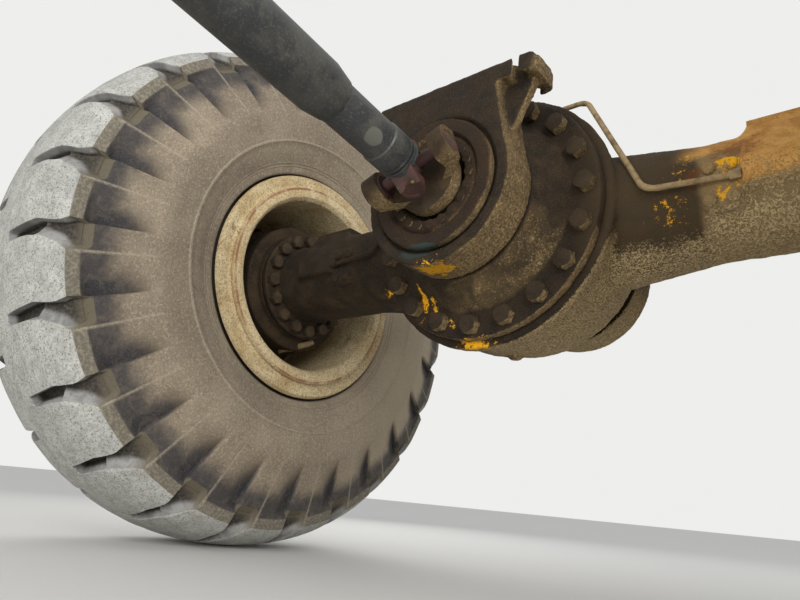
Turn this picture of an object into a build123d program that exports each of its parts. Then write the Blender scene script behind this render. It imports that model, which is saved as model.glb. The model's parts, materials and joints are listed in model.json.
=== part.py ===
"""Rear drive axle of a wheel loader, with its trunnion supports, wheels and drive shaft.

Millimetres. X runs along the axle to the right, Y to the rear and Z up.
The origin is the middle of the front support's bolting face, on top of its pad.
The axle swings about the fore-and-aft line through its own centre.
The drive shaft rises to the front from a universal joint on that line.
"""

from build123d import *
import os

os.makedirs("parts", exist_ok=True)

# Places
pad_height = 260  # bolting faces above the swing line
axle_y = 340  # axle line behind the front support's middle
axle_z = -pad_height
track = 2250
wheel_x = track / 2

# Fits
seat_gap = 0.3  # between pieces that seat on each other
running_gap = 5  # between pieces that pass each other
break_edge = 4  # small chamfers and steps

# Trunnions and their supports, which bolt up under the frame
journal_r = 130
bushing_wall = 12
support_bore_r = journal_r + bushing_wall + 2 * seat_gap
front_ring_r = 192
rear_ring_r = 208
support_depth = 105
rear_support_y = 350  # middle of the rear support behind the axle line
pad_length = 490
pad_thickness = 42
pad_bolt_x = 400
pad_bolt_y = 70
pad_bolt_r = 16.5
web_half = 150
gusset_thickness = 26
corner_r = 18
counterbore_r = 165
counterbore_depth = 14

# Centre housing and differential carrier
housing_flange_r = 330
housing_flange_y = -140
bowl_r = 308
bowl_rear_r = 178
bowl_rear_y = 236
joint_face_y = -170
carrier_flange_r = 312
carrier_face_y = -200
carrier_bell_r = 240
carrier_bolt_circle_r = 280
carrier_bolt_count = 19
carrier_bolt_phase = 4
nose_y = -385
recess_r = 84
recess_depth = 27
pinion_r = 45
pinion_depth = 40
retainer_r = 157
retainer_hub_r = 120
retainer_hub = 7
retainer_rim = 20
retainer_bolt_circle_r = 101
retainer_bolt_count = 20
plug_r = 17
plug_height = 12

# Rear trunnion
trunnion_flange_r = 168
trunnion_flange = 26
trunnion_bolt_circle_r = 151
trunnion_bolt_count = 12
rear_cap_r = 152
rear_cap = 22
rear_cap_bolt_circle_r = 100
rear_cap_bolt_count = 8

# Arms: a cone out of the bowl, then a rounded beam with a bolted boss and a stop block
arm_root_x = 230
arm_root_r = 168
arm_cone_x = 500
arm_cone_r = 130
beam_half_height = 124
beam_half_depth = 128
beam_corner_r = 106
arm_flange_r = 185
arm_flange_x = 850
arm_flange = 25
arm_bolt_circle_r = 160
arm_bolt_count = 16
arm_bolt_phase = 8.5
boss_x = 536
boss_z = -19
boss_length = 78
boss_height = 116
boss_proud = 6
boss_plug_r = 13
boss_plug_x = 44
boss_plug_z = 72
stop_x = 575
stop_length = 160
stop_half_depth = 150
stop_bottom = -35
stop_shoulder = 20
stop_top = 124
stop_top_half = 88
stop_plate = 14

# Brake housings and final drive hubs
brake_r = 222
brake_end_x = 1000
spindle_r = 110
spindle_end_x = 1060
hub_start_x = brake_end_x + running_gap
hub_r = 240
hub_flange_r = 284
hub_flange = 26
hub_seat_x = 1200
planet_r = 212
planet_end_x = 1330
cover_r = 150
cover_rim = 16
cover_end_x = 1362
cover_bolt_circle_r = 129
cover_bolt_count = 10

# Brake pipes, along the front of the arms
pipe_r = 5
pipe_z = -12
pipe_nut_r = 10
pipe_nut_length = 18
tee_y = -60
tee_length = 44
tee_width = 30
tee_height = 26
tee_boss = 12

# Rims
bead_r = 317.5
rim_bore_r = 300
rim_gutter_r = 310
rim_half = 325  # from the wheel's middle to the rim's edge
rim_lip = 16
rim_lip_r = 345
rim_lip_bore_r = 312
back_seat = 190  # width of the fixed bead seat
flange_width = 29.5
flange_inner = rim_half - rim_lip - flange_width  # bead side of a loose flange
flange_r = 394
disc_thickness = 25
nut_circle_r = 258
nut_count = 20

# Tyres
tyre_r = 885
tread_depth = 37
crown_half = 150
crown_edge_r = 872
shoulder_half = 253
shoulder_r = 817
bulge_half = rim_half + 18
bulge_r = 560
lug_count = 24
lug_phase = 6
groove_inner = 46  # from the tyre's middle to a groove's closed end
groove_width = 24
groove_top = 12  # upper edge at the closed end, round from the groove's line
groove_mouth_top = -32
groove_mouth_low = 62
groove_exit_half = 278
groove_exit_r = 755
valve_r = 6
valve_length = 40

# Drive shaft and its two universal joints
joint_y = -475
joint_phase = 20  # degrees that the cross stands turned at rest
shaft_rise = 8  # degrees up to the front
shaft_length = 940  # between the joints' centres
outer_ear_span = 112  # of the pinion and flange yokes
outer_ear = 38
outer_ear_half = 38
outer_base = 46  # from the joint's centre to the hollow of the fork
outer_cap_r = 26
inner_ear_span = 64  # of the shaft's own yokes
inner_ear = 22
inner_ear_half = 27
inner_base = 33
inner_cap_r = 18
base_thickness = 14
arm_r = 14
cross_r = 27
yoke_disc_r = 78
slip_r = 34
sleeve_r = 47
sleeve_collar = 56  # length of the sleeve's thick end
sleeve_neck_r = 44
tube_start = 240  # place up the shaft from the near joint
tube_cone = 44
tube_r = 55
band = 4
flange_yoke_length = 100
far_flange_r = 95
far_flange = 16
far_bolt_circle_r = 78
far_bolt_count = 8
far_bolt_r = 6.5

swing_axis = Axis((0, axle_y, axle_z), (0, 1, 0))
axle_axis = Axis((0, axle_y, axle_z), (1, 0, 0))

# Profiles to turn: local x is the way along the axis, local y the radius
along_swing = Plane(origin=(0, axle_y, axle_z), x_dir=(0, 1, 0), z_dir=(1, 0, 0))
along_axle = Plane(origin=(0, axle_y, axle_z), x_dir=(1, 0, 0), z_dir=(0, -1, 0))


def facing_front(y):
    """Plane across the swing line, y behind the axle line; extrudes forward."""
    return Plane(origin=(0, axle_y + y, axle_z), x_dir=(1, 0, 0), z_dir=(0, -1, 0))


def facing_back(y):
    """The same plane, extruding to the rear."""
    return Plane(origin=(0, axle_y + y, axle_z), x_dir=(-1, 0, 0), z_dir=(0, 1, 0))


def facing_out(x):
    """Plane across the axle at x; extrudes to the right."""
    return Plane(origin=(x, axle_y, axle_z), x_dir=(0, 1, 0), z_dir=(1, 0, 0))


def facing_up(x, y, z):
    """Level plane at a point given from the axle's centre."""
    return Plane(origin=(x, axle_y + y, axle_z + z))


def turn(plane, axis, *outline, mode=Mode.ADD):
    """Turn a closed outline of straight lines about an axis, in the open part."""
    with BuildSketch(plane) as profile:
        with BuildLine():
            Polyline(*outline, close=True)
        make_face()
    revolve(profile.sketch, axis=axis, mode=mode)


def bolt_heads(plane, circle_r, count, phase, across, height):
    """Hexagon heads on a bolt circle, as one part of separate solids."""
    with BuildPart() as heads:
        with BuildSketch(plane):
            with PolarLocations(circle_r, count, start_angle=phase):
                RegularPolygon(across / 2, 6, major_radius=False)
        extrude(amount=height)
    return heads.part


def mirrored(piece):
    """The same piece on the left side."""
    with BuildPart() as twin:
        mirror(piece, about=Plane.YZ)
    return twin.part


def write(piece, name):
    piece.label = name
    export_step(piece, f"parts/{name}.step")


# Trunnion supports
def trunnion_support(y, ring_r, counterbored):
    rear = y + support_depth / 2
    under_pad = pad_height - pad_thickness
    gusset_foot = pad_length / 2 - corner_r
    with BuildPart() as support:
        with BuildSketch(facing_front(rear)):
            Circle(ring_r)
            with BuildLine():
                Polyline((-ring_r, 0), (ring_r, 0), (web_half, under_pad), (-web_half, under_pad), close=True)
            make_face()
        extrude(amount=support_depth)
        with BuildSketch(facing_up(0, y, under_pad)):
            Rectangle(pad_length, support_depth)
        extrude(amount=pad_thickness)
        fillet(support.edges().filter_by(Axis.Z), corner_r)
        with BuildSketch(facing_front(y + gusset_thickness / 2)):
            for side in (-1, 1):
                with BuildLine():
                    Polyline(
                        (side * ring_r * 0.8, ring_r / 3),
                        (side * gusset_foot, under_pad),
                        (side * web_half * 0.8, under_pad),
                        close=True,
                    )
                make_face()
        extrude(amount=gusset_thickness)
        with BuildSketch(facing_front(rear)):
            Circle(support_bore_r)
        extrude(amount=support_depth, mode=Mode.SUBTRACT)
        if counterbored:
            with BuildSketch(facing_front(rear - support_depth + counterbore_depth)):
                Circle(counterbore_r)
            extrude(amount=counterbore_depth, mode=Mode.SUBTRACT)
        with BuildSketch(facing_up(0, y, pad_height)):
            with GridLocations(pad_bolt_x, pad_bolt_y, 2, 2):
                Circle(pad_bolt_r)
        extrude(amount=-pad_thickness, mode=Mode.SUBTRACT)
    return support.part


def bushing(start, end):
    inner = journal_r + seat_gap
    outer = inner + bushing_wall
    with BuildPart() as sleeve:
        turn(along_swing, swing_axis, (start, inner), (end, inner), (end, outer), (start, outer))
    return sleeve.part


front_support_y = -axle_y
front_support_front = front_support_y - support_depth / 2
front_support_rear = front_support_y + support_depth / 2
rear_support_front = rear_support_y - support_depth / 2
rear_support_rear = rear_support_y + support_depth / 2
write(trunnion_support(front_support_y, front_ring_r, True), "front_support")
write(trunnion_support(rear_support_y, rear_ring_r, False), "rear_support")
write(bushing(front_support_front + counterbore_depth, front_support_rear), "front_bushing")
write(bushing(rear_support_front, rear_support_rear), "rear_bushing")


# Axle housing: centre bowl, two arms and their stop blocks
arm_end_x = arm_flange_x + arm_flange
tee_seat = bowl_r + tee_boss
with BuildPart() as housing:
    turn(
        along_swing,
        swing_axis,
        (joint_face_y, 0),
        (joint_face_y, housing_flange_r),
        (housing_flange_y, housing_flange_r),
        (housing_flange_y + 14, bowl_r + 8),
        (20, bowl_r),
        (bowl_rear_y * 0.5, bowl_r * 0.93),
        (bowl_rear_y * 0.85, bowl_r * 0.78),
        (bowl_rear_y, bowl_rear_r),
        (bowl_rear_y, 0),
    )
    turn(
        along_axle,
        axle_axis,
        (0, 0),
        (0, arm_root_r),
        (arm_root_x, arm_root_r),
        (arm_cone_x, arm_cone_r),
        (arm_cone_x + 30, arm_cone_r - 14),
        (arm_cone_x + 30, 0),
    )
    with BuildSketch(facing_out(arm_cone_x - 30)):
        RectangleRounded(2 * beam_half_depth, 2 * beam_half_height, beam_corner_r)
    extrude(amount=arm_end_x - arm_cone_x + 30)
    turn(
        along_axle,
        axle_axis,
        (arm_flange_x, 0),
        (arm_flange_x, arm_flange_r),
        (arm_end_x, arm_flange_r),
        (arm_end_x, 0),
    )
    with BuildSketch(facing_out(stop_x)):
        with BuildLine():
            Polyline(
                (-stop_half_depth, stop_bottom),
                (-stop_half_depth, stop_shoulder),
                (-stop_top_half, stop_top),
                (stop_top_half, stop_top),
                (stop_half_depth, stop_shoulder),
                (stop_half_depth, stop_bottom),
                close=True,
            )
        make_face()
    extrude(amount=stop_length)
    with BuildSketch(facing_front(0)):
        with Locations((boss_x, boss_z)):
            RectangleRounded(boss_length, boss_height, corner_r)
    extrude(amount=beam_half_depth + boss_proud)
    with BuildSketch(facing_front(0)):
        with Locations((boss_x, boss_z)):
            with GridLocations(boss_plug_x, boss_plug_z, 2, 2):
                Circle(boss_plug_r)
    extrude(amount=beam_half_depth + 2 * boss_proud)
    mirror(about=Plane.YZ)
    with BuildSketch(facing_up(0, tee_y, bowl_r - tee_boss)):
        Rectangle(1.6 * tee_length, 1.9 * tee_width)
    extrude(amount=2 * tee_boss)
    with BuildSketch(facing_up(0, 0, plug_height - bowl_r - 2 * plug_height)):
        RegularPolygon(plug_r, 6)
    extrude(amount=3 * plug_height)
write(housing.part, "axle_housing")

with BuildPart() as stop_pad:
    with BuildSketch(facing_up(stop_x + stop_length / 2, 0, stop_top + seat_gap)):
        Rectangle(stop_length - 2 * break_edge, 2 * (stop_top_half - break_edge))
    extrude(amount=stop_plate)
    chamfer(stop_pad.faces().sort_by(Axis.Z)[-1].edges(), break_edge / 2)


# Brake tee on top of the bowl, and the pipes from it to the stop blocks
tee_floor = tee_seat + seat_gap
tee_middle = tee_floor + tee_height / 2
with BuildPart() as tee:
    with BuildSketch(facing_up(0, tee_y, tee_floor)):
        Rectangle(tee_length, tee_width)
    extrude(amount=tee_height)
    fillet(tee.edges().filter_by(Axis.Z), break_edge)
write(tee.part, "brake_tee")

pipe_front = -(beam_half_depth + boss_proud + 2 * pipe_r)
nut_end = stop_x - seat_gap
pipe_points = (
    # from the axle's centre
    (tee_length / 2 + seat_gap, tee_y, tee_middle),
    (bowl_r * 0.7, tee_y, tee_middle),
    (housing_flange_r + 62, pipe_front - 22, pipe_z),
    (nut_end - pipe_nut_length / 2, pipe_front, pipe_z),
)
with BuildPart() as pipe:
    with BuildLine() as route:
        FilletPolyline(*[(x, axle_y + y, axle_z + z) for x, y, z in pipe_points], radius=8 * pipe_r)
    with BuildSketch(Plane(origin=route.line @ 0, z_dir=route.line % 0)):
        Circle(pipe_r)
    sweep(path=route.line)
    with BuildSketch(facing_out(nut_end - pipe_nut_length)):
        with Locations(pipe_points[-1][1:]):
            RegularPolygon(pipe_nut_r, 6)
    extrude(amount=pipe_nut_length)


# Differential carrier: bolting flange, bell and the front trunnion
recess_y = nose_y + recess_depth
bore_end = recess_y + pinion_depth + running_gap
carrier_neck = front_support_rear + running_gap
with BuildPart() as carrier:
    turn(
        along_swing,
        swing_axis,
        (joint_face_y - seat_gap, 0),
        (joint_face_y - seat_gap, carrier_flange_r),
        (carrier_face_y, carrier_flange_r),
        (carrier_face_y, carrier_bell_r + 10),
        (carrier_face_y - 12, carrier_bell_r),
        (carrier_neck, journal_r + 58),
        (carrier_neck, journal_r + 18),
        (front_support_rear, journal_r),
        (nose_y, journal_r),
        (nose_y, recess_r),
        (recess_y, recess_r - break_edge),
        (recess_y, pinion_r + seat_gap),
        (bore_end, pinion_r + seat_gap),
        (bore_end, 0),
    )
write(carrier.part, "differential_carrier")
carrier_bolts = bolt_heads(
    facing_front(carrier_face_y - seat_gap), carrier_bolt_circle_r, carrier_bolt_count, carrier_bolt_phase, 42, 24
)
write(carrier_bolts, "carrier_bolts")

# Retainer that traps the front trunnion in its support
with BuildPart() as retainer:
    turn(
        along_swing,
        swing_axis,
        (nose_y - seat_gap, recess_r + break_edge),
        (nose_y - seat_gap, retainer_r),
        (nose_y - retainer_rim + break_edge, retainer_r),
        (nose_y - retainer_rim, retainer_r - break_edge),
        (nose_y - retainer_rim, retainer_hub_r + 6),
        (nose_y - retainer_hub, retainer_hub_r),
        (nose_y - retainer_hub, recess_r + break_edge),
    )
write(retainer.part, "front_retainer")
retainer_bolts = bolt_heads(
    facing_front(nose_y - retainer_hub - seat_gap), retainer_bolt_circle_r, retainer_bolt_count, 3, 20, 11
)
write(retainer_bolts, "retainer_bolts")


# Rear trunnion, bolted to the back of the bowl
trunnion_start = bowl_rear_y + seat_gap
trunnion_end = rear_support_rear + running_gap
with BuildPart() as rear_trunnion:
    turn(
        along_swing,
        swing_axis,
        (trunnion_start, 0),
        (trunnion_start, trunnion_flange_r),
        (trunnion_start + trunnion_flange, trunnion_flange_r),
        (trunnion_start + trunnion_flange, journal_r + break_edge),
        (rear_support_front - break_edge, journal_r + break_edge),
        (rear_support_front, journal_r),
        (trunnion_end, journal_r),
        (trunnion_end, 0),
    )
write(rear_trunnion.part, "rear_trunnion")
trunnion_bolts = bolt_heads(
    facing_back(trunnion_start + trunnion_flange + seat_gap), trunnion_bolt_circle_r, trunnion_bolt_count, 15, 28, 16
)
write(trunnion_bolts, "rear_trunnion_bolts")

cap_start = trunnion_end + seat_gap
cap_end = cap_start + rear_cap
with BuildPart() as rear_retainer:
    turn(
        along_swing,
        swing_axis,
        (cap_start, 0),
        (cap_start, rear_cap_r),
        (cap_end - break_edge, rear_cap_r),
        (cap_end, rear_cap_r - break_edge),
        (cap_end, 0),
    )
write(rear_retainer.part, "rear_retainer")
rear_cap_bolts = bolt_heads(facing_back(cap_end + seat_gap), rear_cap_bolt_circle_r, rear_cap_bolt_count, 22.5, 36, 20)
write(rear_cap_bolts, "rear_retainer_bolts")


# Brake housings and final drive hubs
with BuildPart() as brake:
    turn(
        along_axle,
        axle_axis,
        (arm_end_x + seat_gap, 0),
        (arm_end_x + seat_gap, arm_flange_r),
        (arm_end_x + 18, arm_flange_r),
        (arm_end_x + 24, brake_r),
        (brake_end_x - 10, brake_r),
        (brake_end_x, brake_r - 10),
        (brake_end_x, spindle_r),
        (spindle_end_x, spindle_r),
        (spindle_end_x, 0),
    )

with BuildPart() as hub:
    turn(
        along_axle,
        axle_axis,
        (spindle_end_x + running_gap, 0),
        (spindle_end_x + running_gap, spindle_r + seat_gap),
        (hub_start_x, spindle_r + seat_gap),
        (hub_start_x, brake_r - 12),
        (hub_start_x + 20, hub_r - 5),
        (hub_seat_x - hub_flange - 14, hub_r),
        (hub_seat_x - hub_flange, hub_flange_r),
        (hub_seat_x, hub_flange_r),
        (hub_seat_x, planet_r),
        (planet_end_x - 12, planet_r - 6),
        (planet_end_x, planet_r - 18),
        (planet_end_x, 0),
    )

with BuildPart() as cover:
    turn(
        along_axle,
        axle_axis,
        (planet_end_x + seat_gap, 0),
        (planet_end_x + seat_gap, cover_r),
        (planet_end_x + cover_rim, cover_r),
        (planet_end_x + cover_rim, cover_r - 42),
        (cover_end_x, cover_r - 56),
        (cover_end_x, 0),
    )

cover_bolts = bolt_heads(
    facing_out(planet_end_x + cover_rim + seat_gap), cover_bolt_circle_r, cover_bolt_count, 0, 24, 14
)

# Rim: base with its disc, two loose flanges, and the lock ring
disc_start = hub_seat_x + seat_gap
disc_end = disc_start + disc_thickness
seat_inner = rim_half - rim_lip  # side of the fixed lip that the loose flange leans on
with BuildPart() as rim_base:
    turn(
        along_axle,
        axle_axis,
        (wheel_x - rim_half, rim_lip_bore_r),
        (wheel_x - rim_half, rim_lip_r),
        (wheel_x - seat_inner, rim_lip_r),
        (wheel_x - seat_inner, bead_r),
        (wheel_x - rim_half + back_seat, bead_r),
        (wheel_x - rim_half + back_seat + 30, rim_gutter_r),
        (wheel_x + rim_half, rim_gutter_r),
        (wheel_x + rim_half, rim_bore_r),
        (wheel_x - seat_inner, rim_bore_r),
    )
    turn(
        along_axle,
        axle_axis,
        (disc_start, planet_r + running_gap),
        (disc_end, planet_r + running_gap),
        (disc_end, rim_bore_r + 2),
        (disc_start, rim_bore_r + 2),
    )


def rim_flange(side):
    """Loose flange that holds one bead; side is -1 at the frame and 1 outside."""
    seat = bead_r + seat_gap
    back = seat_inner - seat_gap
    outline = (
        (back, seat),
        (flange_inner - 14, seat),
        (flange_inner - 14, bead_r + 27),
        (flange_inner, bead_r + 44),
        (flange_inner + 6, flange_r - 6),
        (flange_inner + 14, flange_r),
        (flange_inner + 30, flange_r - 8),
        (back - 5, bead_r + 38),
        (back, rim_lip_r - 3),
    )
    with BuildPart() as flange:
        turn(along_axle, axle_axis, *[(wheel_x + side * x, r) for x, r in outline])
    return flange.part


band_end = flange_inner - 14 - seat_gap
with BuildPart() as seat_band:
    turn(
        along_axle,
        axle_axis,
        (wheel_x + band_end - back_seat * 0.75, rim_gutter_r + seat_gap),
        (wheel_x + band_end - back_seat * 0.5, bead_r),
        (wheel_x + seat_inner - seat_gap, bead_r),
        (wheel_x + seat_inner - seat_gap, rim_gutter_r + seat_gap),
    )

with BuildPart() as lock_ring:
    turn(
        along_axle,
        axle_axis,
        (wheel_x + seat_inner, rim_gutter_r + seat_gap),
        (wheel_x + seat_inner, rim_lip_r - 12),
        (wheel_x + rim_half - 6, rim_lip_r - 12),
        (wheel_x + rim_half, rim_lip_r - 20),
        (wheel_x + rim_half, rim_gutter_r + seat_gap),
    )


# Tyre: carcass turned in one piece, with grooves cut in from both shoulders
groove_floor_r = tyre_r - tread_depth
groove_reach = groove_exit_half + 20
floor_fall = (groove_floor_r - groove_exit_r) / (groove_exit_half - groove_inner)
floor_end_r = groove_exit_r - floor_fall * (groove_reach - groove_exit_half)
with BuildPart() as groove:
    # plan, seen from outside: way from the tyre's middle to its side, way round
    with BuildSketch(Plane(origin=(0, 0, 0), x_dir=(0, 0, -1), z_dir=(1, 0, 0))):
        with BuildLine():
            Polyline(
                (groove_inner, groove_top),
                (groove_inner, groove_top + groove_width),
                (groove_reach, groove_mouth_low),
                (groove_reach, groove_mouth_top),
                close=True,
            )
        make_face()
    extrude(amount=2 * tyre_r)
    # floor, falling to the mouth
    with BuildSketch(Plane(origin=(0, 0, 0), x_dir=(0, 0, -1), z_dir=(0, -1, 0))):
        with BuildLine():
            Polyline(
                (groove_inner, groove_floor_r),
                (groove_reach, floor_end_r),
                (groove_reach, 2 * tyre_r),
                (groove_inner, 2 * tyre_r),
                close=True,
            )
        make_face()
    extrude(amount=groove_reach, both=True, mode=Mode.INTERSECT)

tyre_half_outline = (
    # from the wheel's middle, radius
    (flange_inner - 20, bead_r + seat_gap),
    (flange_inner - 7, flange_r + 4),
    (bulge_half - 12, bulge_r * 0.88),
    (bulge_half, bulge_r),
    (shoulder_half, shoulder_r),
    (crown_half, crown_edge_r),
    (0, tyre_r),
)
with BuildPart(Plane(origin=(wheel_x, axle_y, axle_z), x_dir=(0, 1, 0), z_dir=(1, 0, 0))) as tyre:
    right_side = [(wheel_x + x, r) for x, r in tyre_half_outline]
    left_side = [(wheel_x - x, r) for x, r in reversed(tyre_half_outline[:-1])]
    turn(along_axle, axle_axis, *right_side, *left_side)
    with PolarLocations(0, lug_count, start_angle=lug_phase):
        add(groove.part, mode=Mode.SUBTRACT)
    with PolarLocations(0, lug_count, start_angle=lug_phase + 180 / lug_count):
        add(groove.part.rotate(Axis.X, 180), mode=Mode.SUBTRACT)

# Tyre valve: a boss on the rim's bore, outside the disc, and a stem leaning out
valve_foot = Vector(wheel_x + rim_half * 0.45, axle_y, axle_z + rim_bore_r - 2 * seat_gap)
with BuildPart() as valve:
    with BuildSketch(Plane(origin=valve_foot, z_dir=(0, 0, -1))):
        Circle(2 * valve_r)
    extrude(amount=2 * valve_r)
    with BuildSketch(Plane(origin=valve_foot - (0, 0, valve_r), z_dir=(1, 0, -0.5))):
        Circle(valve_r)
    extrude(amount=valve_length)

side_pieces = {
    "stop_pad": stop_pad.part,
    "brake_pipe": pipe.part,
    "brake_housing": brake.part,
    "arm_bolts": bolt_heads(
        facing_out(arm_flange_x - 22 - seat_gap), arm_bolt_circle_r, arm_bolt_count, arm_bolt_phase, 38, 22
    ),
    "final_drive_hub": hub.part,
    "hub_cover": cover.part,
    "cover_bolts": cover_bolts,
    "tyre_valve": valve.part,
    "rim_base": rim_base.part,
    "rim_inner_flange": rim_flange(-1),
    "rim_outer_flange": rim_flange(1),
    "bead_seat_band": seat_band.part,
    "lock_ring": lock_ring.part,
    "wheel_nuts": bolt_heads(facing_out(disc_end + seat_gap), nut_circle_r, nut_count, 0, 36, 24),
    "tyre": tyre.part,
}
for name, piece in side_pieces.items():
    write(piece, f"right_{name}")
    write(mirrored(piece), f"left_{name}")


# Drive shaft. Each joint's cross has its hub and two arms in the outer yoke, and two
# pins in the shaft's own yoke, which bear on the hub's ball as the joint bends.
near_joint = Vector(0, axle_y + joint_y, axle_z)
forward = Vector(0, -1, 0)
up_shaft = forward.rotate(Axis.X, -shaft_rise)
outer_pin = Vector(1, 0, 0).rotate(Axis.Y, -joint_phase)
inner_pin = up_shaft.cross(outer_pin).normalized()
far_joint = near_joint + up_shaft * shaft_length


def lengthwise(centre, way):
    """Plane through a joint's centre for profiles that turn about way."""
    return Plane(origin=centre, x_dir=way, z_dir=(1, 0, 0))


def fork(centre, opening, pin, outline, half, cap_r, span):
    """U from one side's outline of (out, back) points, with round, bored ears on the pin's line."""
    from_the_side = Plane(origin=centre, x_dir=opening, z_dir=pin)
    with BuildPart() as yoke:
        with BuildSketch(Plane(origin=centre, x_dir=pin, z_dir=pin.cross(opening))):
            with BuildLine():
                twin = [(-x, y) for x, y in reversed(outline)]
                Polyline(*outline, *twin, close=True)
            make_face()
        extrude(amount=half, both=True)
        with BuildSketch(from_the_side):
            Circle(half)
            with Locations((-span / 2, 0)):
                Rectangle(span, 2 * half)
        extrude(amount=span, both=True, mode=Mode.INTERSECT)
        with BuildSketch(from_the_side):
            Circle(cap_r + seat_gap)
        extrude(amount=span, both=True, mode=Mode.SUBTRACT)
    return yoke.part


def outer_fork(centre, opening):
    """Fork of the pinion's or the flange's yoke; its ears lie on the outer pin's line."""
    inner = outer_ear_span - outer_ear
    shoulder = -outer_ear_half / 2
    outline = (
        # out along the pin, towards the opening
        (inner * 0.6, -outer_base),
        (inner, shoulder),
        (inner, outer_ear_half),
        (outer_ear_span, outer_ear_half),
        (outer_ear_span, shoulder),
        (outer_base + base_thickness, -outer_base - base_thickness),
    )
    return fork(centre, opening, outer_pin, outline, outer_ear_half, outer_cap_r, outer_ear_span)


def inner_fork(centre, opening):
    """Fork of the shaft's own yoke, which fits inside the outer one."""
    inner = inner_ear_span - inner_ear
    outline = (
        (inner * 0.6, -inner_base),
        (inner, -inner_base / 3),
        (inner, inner_ear_half),
        (inner_ear_span, inner_ear_half),
        (inner_ear_span, -inner_base / 3),
        (slip_r, -inner_base - base_thickness),
    )
    return fork(centre, opening, inner_pin, outline, inner_ear_half, inner_cap_r, inner_ear_span)


def cross_arm(centre, way, start, ear_span, ear, cap_r):
    """One arm of a cross with its bearing cap, in the open part."""
    cap_start = ear_span - ear - break_edge
    lengths = ((start, ear_span - ear - start, arm_r), (cap_start, ear + break_edge / 2, cap_r))
    for foot, length, radius in lengths:
        with BuildSketch(Plane(origin=centre + way * foot, x_dir=forward, z_dir=way)) as section:
            Circle(radius)
        extrude(section.sketch, amount=length)


def cross_hub(centre):
    """Ball of a joint's cross with its two arms and bearing caps in the outer yoke."""
    with BuildPart() as hub_and_arms:
        with BuildSketch(lengthwise(centre, forward)):
            with BuildLine():
                CenterArc((0, 0), cross_r, 0, 180)
                Line((-cross_r, 0), (cross_r, 0))
            make_face()
        revolve(axis=Axis(centre, forward))
        for way in (outer_pin, -outer_pin):
            cross_arm(centre, way, 0, outer_ear_span, outer_ear, outer_cap_r)
    return hub_and_arms.part


def cross_pins(centre):
    """The cross's other two arms, in the shaft's own yoke."""
    with BuildPart() as pins:
        for way in (inner_pin, -inner_pin):
            cross_arm(centre, way, cross_r + seat_gap, inner_ear_span, inner_ear, inner_cap_r)
    return pins.part


# Pinion yoke, in the carrier's nose; places are ahead of the joint's centre
pinion_end = joint_y - recess_y - pinion_depth
shield = joint_y - nose_y + retainer_rim
outer_neck = outer_base + base_thickness
with BuildPart() as pinion_yoke:
    add(outer_fork(near_joint, forward))
    turn(
        lengthwise(near_joint, forward),
        swing_axis,
        (-outer_base, 0),
        (-outer_base, outer_neck - break_edge),
        (-outer_base - break_edge, yoke_disc_r),
        (shield - 3 * break_edge, yoke_disc_r),
        (shield - 4 * break_edge, outer_neck),
        (joint_y - recess_y + running_gap, outer_neck),
        (joint_y - recess_y + running_gap, pinion_r),
        (pinion_end, pinion_r),
        (pinion_end, 0),
    )
write(pinion_yoke.part, "pinion_yoke")
write(cross_hub(near_joint), "near_cross")
write(cross_pins(near_joint), "near_cross_pins")

# The shaft's pieces; places are up the shaft from the near joint
along_shaft = lengthwise(near_joint, up_shaft)
shaft_axis = Axis(near_joint, up_shaft)
neck_end = inner_base + base_thickness
sleeve_start = neck_end + seat_gap
shank_end = sleeve_start + sleeve_collar
with BuildPart() as slip_yoke:
    add(inner_fork(near_joint, -up_shaft))
    turn(
        along_shaft,
        shaft_axis,
        (inner_base, 0),
        (inner_base, slip_r),
        (shank_end, slip_r),
        (shank_end, 0),
    )
write(slip_yoke.part, "slip_yoke")

with BuildPart() as sleeve:
    turn(
        along_shaft,
        shaft_axis,
        (sleeve_start, slip_r + seat_gap),
        (sleeve_start, sleeve_r - band / 2),
        (sleeve_start + band, sleeve_r),
        (sleeve_start + 2 * band, sleeve_r),
        (sleeve_start + 2 * band, sleeve_r - band / 2),
        (sleeve_start + 3 * band, sleeve_r - band / 2),
        (sleeve_start + 3 * band, sleeve_r),
        (shank_end, sleeve_r),
        (shank_end + band, sleeve_neck_r),
        (tube_start, sleeve_neck_r),
        (tube_start, 0),
        (shank_end + seat_gap, 0),
        (shank_end + seat_gap, slip_r + seat_gap),
    )
write(sleeve.part, "slip_sleeve")

tube_end = shaft_length - sleeve_start
with BuildPart() as tube:
    turn(
        along_shaft,
        shaft_axis,
        (tube_start + seat_gap, 0),
        (tube_start + seat_gap, sleeve_r),
        (tube_start + tube_cone, tube_r),
        (tube_end - tube_cone, tube_r),
        (tube_end, sleeve_r),
        (tube_end, slip_r + seat_gap),
        (shaft_length - shank_end - seat_gap, slip_r + seat_gap),
        (shaft_length - shank_end - seat_gap, 0),
    )
write(tube.part, "shaft_tube")

with BuildPart() as tube_yoke:
    add(inner_fork(far_joint, up_shaft))
    turn(
        along_shaft,
        shaft_axis,
        (shaft_length - shank_end, 0),
        (shaft_length - shank_end, slip_r),
        (shaft_length - inner_base, slip_r),
        (shaft_length - inner_base, 0),
    )
write(tube_yoke.part, "tube_yoke")
write(cross_pins(far_joint), "far_cross_pins")
write(cross_hub(far_joint), "far_cross")

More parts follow.
